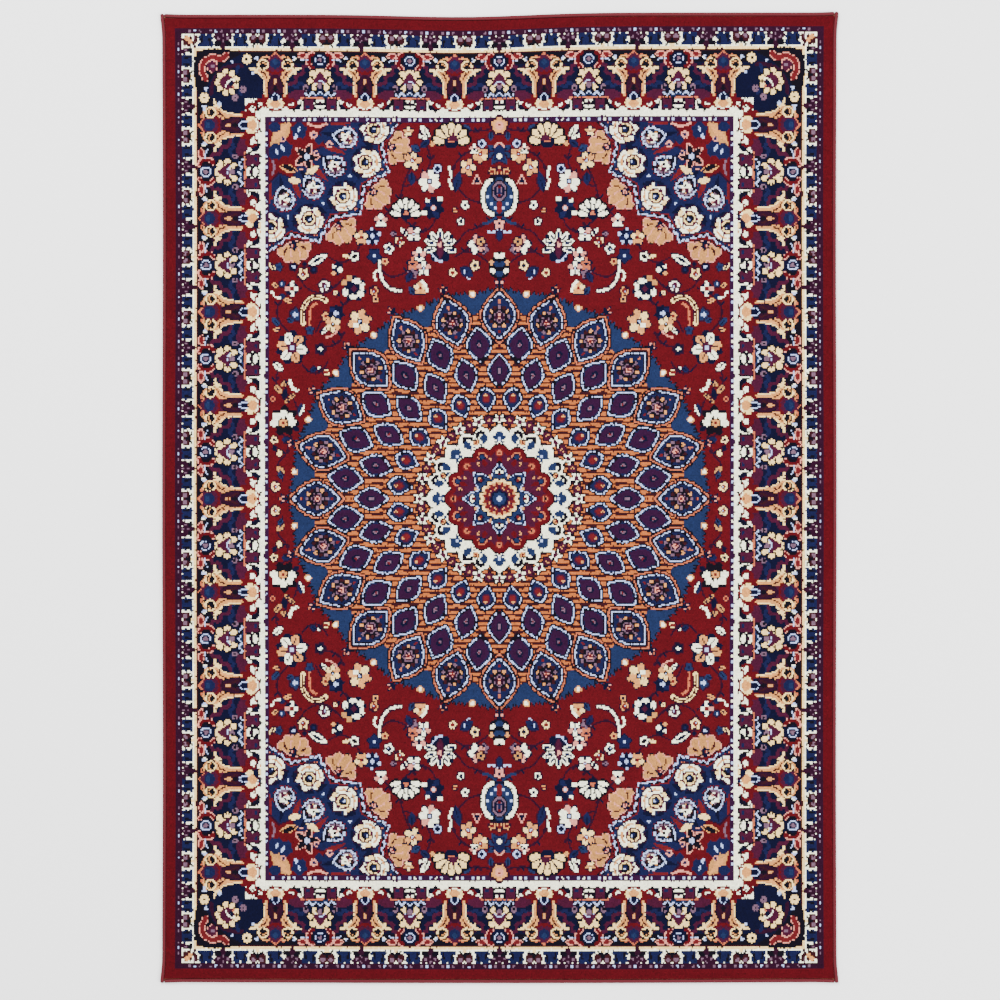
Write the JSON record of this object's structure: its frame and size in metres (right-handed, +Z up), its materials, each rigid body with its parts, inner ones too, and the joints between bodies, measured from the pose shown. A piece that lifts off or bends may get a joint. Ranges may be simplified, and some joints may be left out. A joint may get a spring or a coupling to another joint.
{
  "type": "area rug",
  "caption": "Rectangular cut-pile area rug with a round medallion, corner spandrels, nested borders and overlocked edges; it lies flat on a floor.",
  "frame": {"origin": "on the floor, under the centre of the rug", "axes": "+Y along the rug's length, +X across it, +Z up out of the pile"},
  "size_m": [1.6, 2.3, 0.0097],
  "materials": {
    "latex_coat": "matte",
    "jute_weft": "matte",
    "cotton_warp": "matte",
    "overlock_yarn": "matte",
    "red_pile": "matte",
    "navy_pile": "matte",
    "blue_pile": "matte",
    "ivory_pile": "matte",
    "burgundy_pile": "matte",
    "salmon_pile": "matte"
  },
  "bodies": {
    "root": {"back_coat": "latex_coat", "lower_weft": "jute_weft", "stuffer_warp": "cotton_warp", "upper_weft": "jute_weft", "overlock_left": "overlock_yarn", "overlock_right": "overlock_yarn", "overlock_front": "overlock_yarn", "overlock_back": "overlock_yarn", "edge_band_pile": "red_pile", "outer_guard_pile": "navy_pile", "outer_minor_border_pile": "ivory_pile", "cream_fillet_pile": "ivory_pile", "main_border_pile": "navy_pile", "inner_minor_border_pile": "ivory_pile", "ivory_fillet_pile": "ivory_pile", "inner_guard_pile": "burgundy_pile", "field_pile": "red_pile", "spandrel_pile_front_left": "blue_pile", "spandrel_pile_front_right": "blue_pile", "spandrel_pile_back_left": "blue_pile", "spandrel_pile_back_right": "blue_pile", "medallion_surround_pile": "blue_pile", "medallion_ground_pile": "salmon_pile", "medallion_collar_pile": "ivory_pile", "medallion_rosette_pile": "red_pile", "medallion_star_pile": "blue_pile"}
  },
  "joints": []
}
